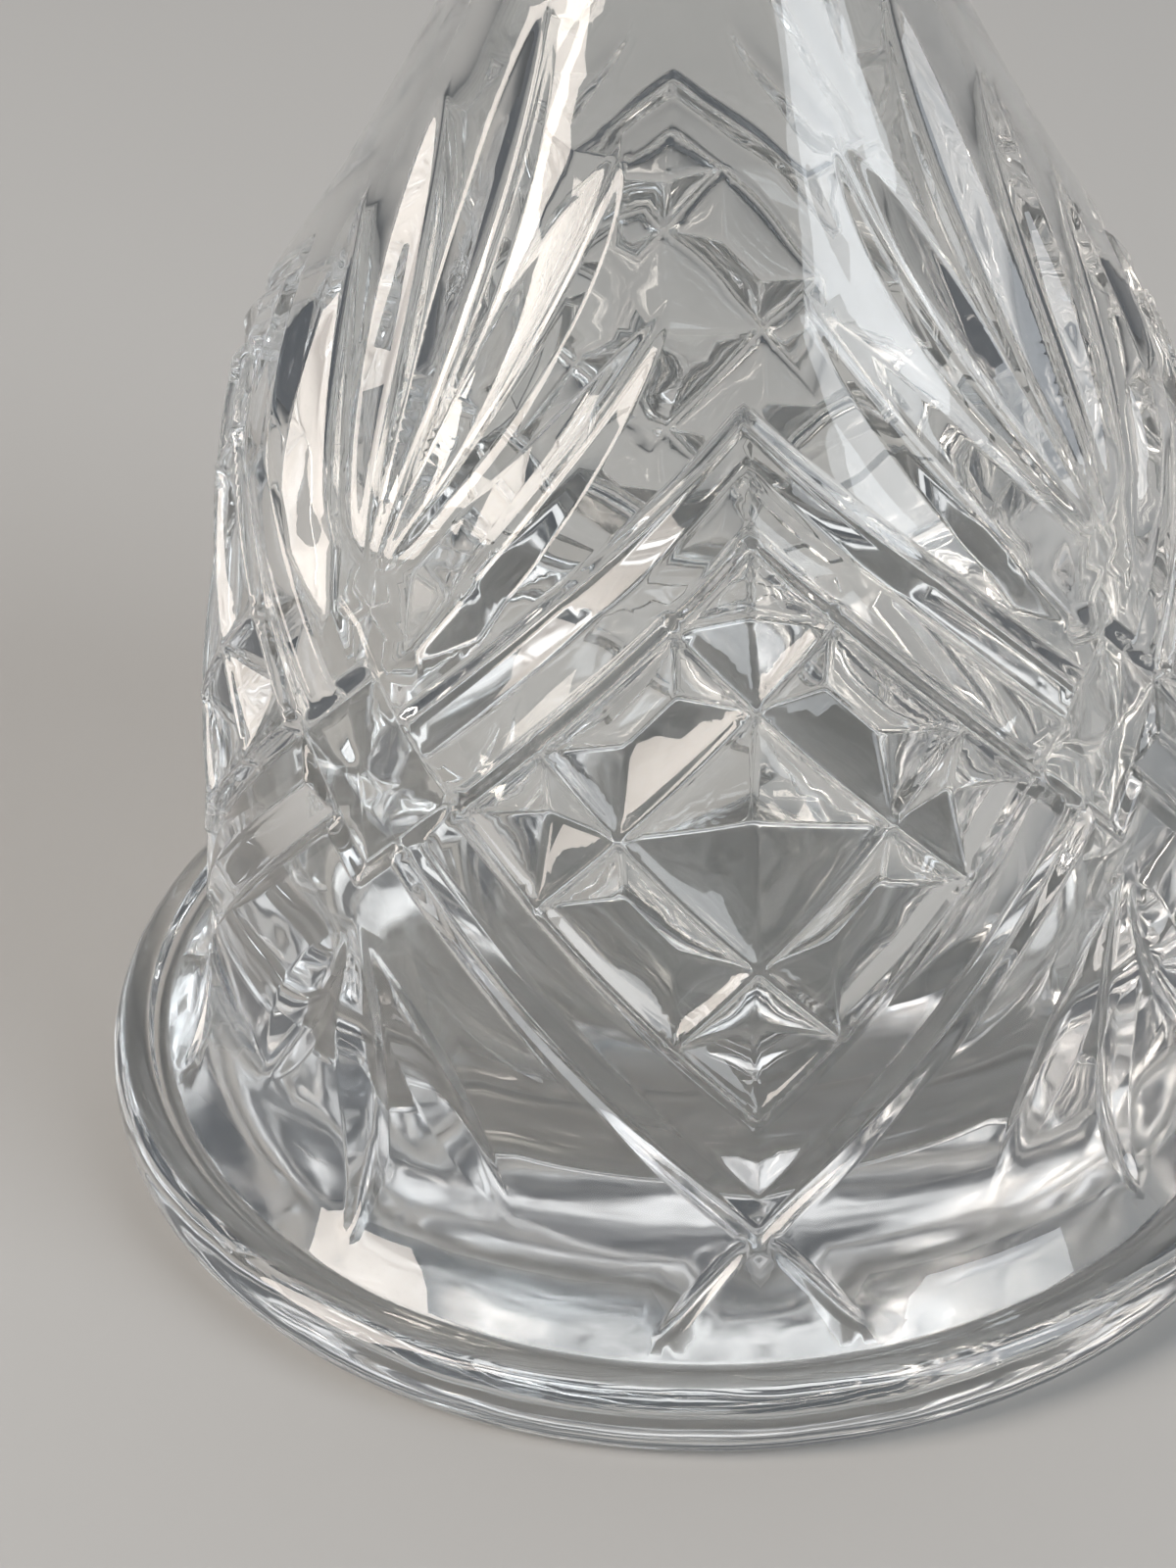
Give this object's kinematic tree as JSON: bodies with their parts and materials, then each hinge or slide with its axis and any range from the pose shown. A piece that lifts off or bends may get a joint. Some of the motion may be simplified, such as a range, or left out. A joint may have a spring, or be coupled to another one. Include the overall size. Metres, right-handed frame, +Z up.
{
  "type": "crystal decanter",
  "caption": "Moulded crystal decanter with a bell-shaped body, a broad foot, a diamond-and-fan pattern and a faceted ball stopper that lifts out.",
  "frame": {"origin": "centre of the foot's resting ring, on the surface the decanter stands on", "axes": "+Z up along the decanter's axis; one diamond of the pattern faces -Y"},
  "size_m": [0.138, 0.138, 0.2671],
  "materials": {
    "crystal": "fire-polished clear crystal",
    "stopper_crystal": "ground and polished clear crystal",
    "clear_plastic": "clear, slightly satin"
  },
  "bodies": {
    "decanter": {"decanter_body": "crystal"},
    "sleeve": {"stopper_sleeve": "clear_plastic"},
    "stopper": {"stopper": "stopper_crystal"}
  },
  "joints": [
    {"name": "stopper_lift", "type": "slide", "parent": "decanter", "child": "sleeve", "axis": [0, 0, 1], "range_m": [0, 0.06]},
    {"name": "stopper_turn", "type": "hinge", "parent": "sleeve", "child": "stopper", "pos_m": [0, 0, 0.215], "axis": [0, 0, 1], "continuous": true}
  ]
}
